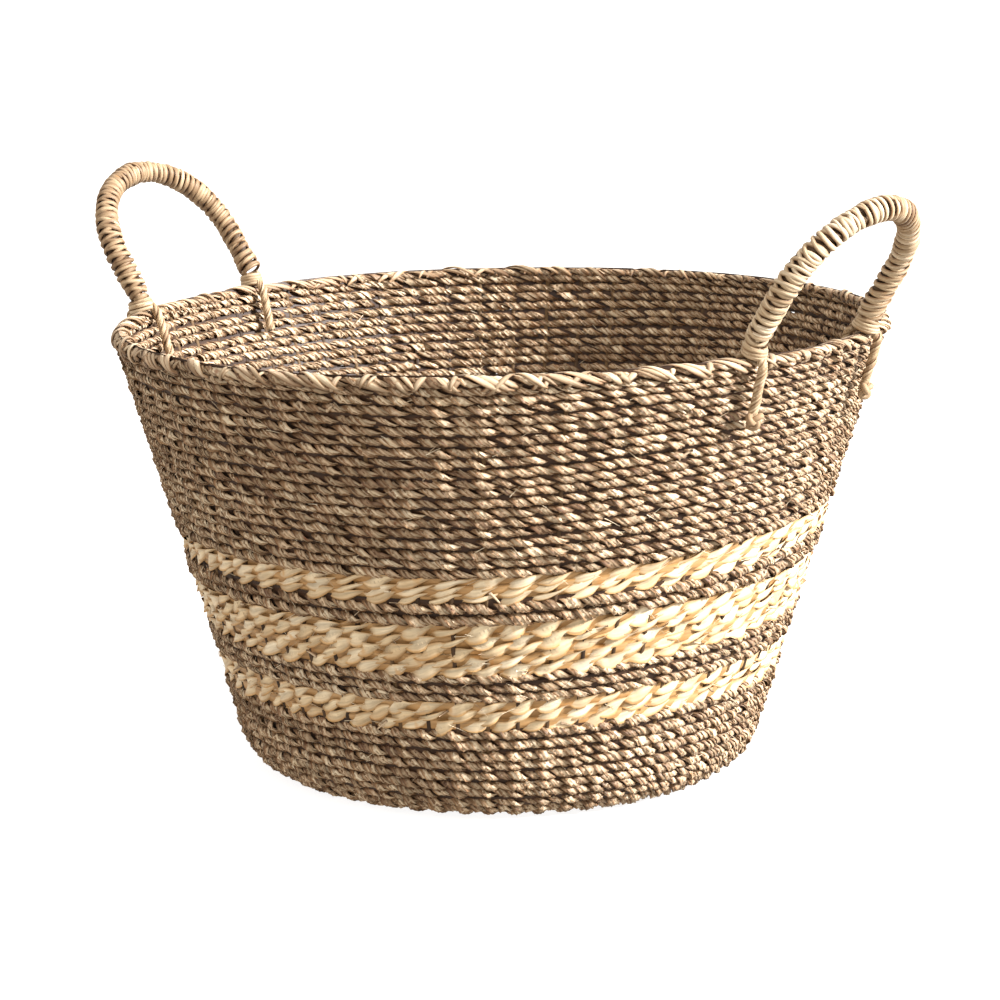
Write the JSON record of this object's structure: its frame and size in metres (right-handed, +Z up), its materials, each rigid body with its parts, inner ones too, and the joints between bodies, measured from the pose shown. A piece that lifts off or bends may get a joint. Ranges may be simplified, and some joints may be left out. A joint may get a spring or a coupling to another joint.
{
  "type": "seagrass storage basket",
  "caption": "Round tapered basket of twined seagrass over stakes, with cream leaf bands round its lower wall and two wrapped loop handles that hinge at the rim.",
  "frame": {"origin": "centre of the underside of the base, on the floor", "axes": "+Z up out of the mouth, +X towards one handle, -X towards the other"},
  "size_m": [0.5286, 0.4488, 0.3451],
  "materials": {
    "seagrass": "dry twined seagrass, matte",
    "cream_leaf": "bleached flat leaf, soft sheen",
    "stake": "seagrass bundle, matte",
    "handle_wrap": "wound straw strand, matte",
    "twisted_cord": "two-ply twisted seagrass, matte"
  },
  "bodies": {
    "root": {"base_centre_weave": "seagrass", "base_outer_weave": "seagrass", "heel_weave": "seagrass", "lower_seagrass_band": "seagrass", "lower_cream_band": "cream_leaf", "lower_seagrass_stripe": "seagrass", "middle_cream_band": "cream_leaf", "upper_seagrass_stripe": "seagrass", "upper_cream_band": "cream_leaf", "upper_seagrass_band": "seagrass", "rim_border": "seagrass", "stakes": "stake", "right_back_foot_cord": "twisted_cord", "right_front_foot_cord": "twisted_cord", "left_front_foot_cord": "twisted_cord", "left_back_foot_cord": "twisted_cord", "right_back_foot_knot": "twisted_cord", "right_front_foot_knot": "twisted_cord", "left_front_foot_knot": "twisted_cord", "left_back_foot_knot": "twisted_cord"},
    "right_handle": {"right_handle_core": "twisted_cord", "right_handle_wrap": "handle_wrap"},
    "left_handle": {"left_handle_core": "twisted_cord", "left_handle_wrap": "handle_wrap"}
  },
  "joints": [
    {"name": "right_handle_hinge", "type": "hinge", "parent": "root", "child": "right_handle", "pos_m": [0.21755, -0.01789, 0.27483], "axis": [0.0819, 0.9966, 0], "range_deg": [-88, 45]},
    {"name": "left_handle_hinge", "type": "hinge", "parent": "root", "child": "left_handle", "pos_m": [-0.21586, -0.01775, 0.27483], "axis": [0.0819, -0.9966, 0], "range_deg": [-88, 45]}
  ]
}
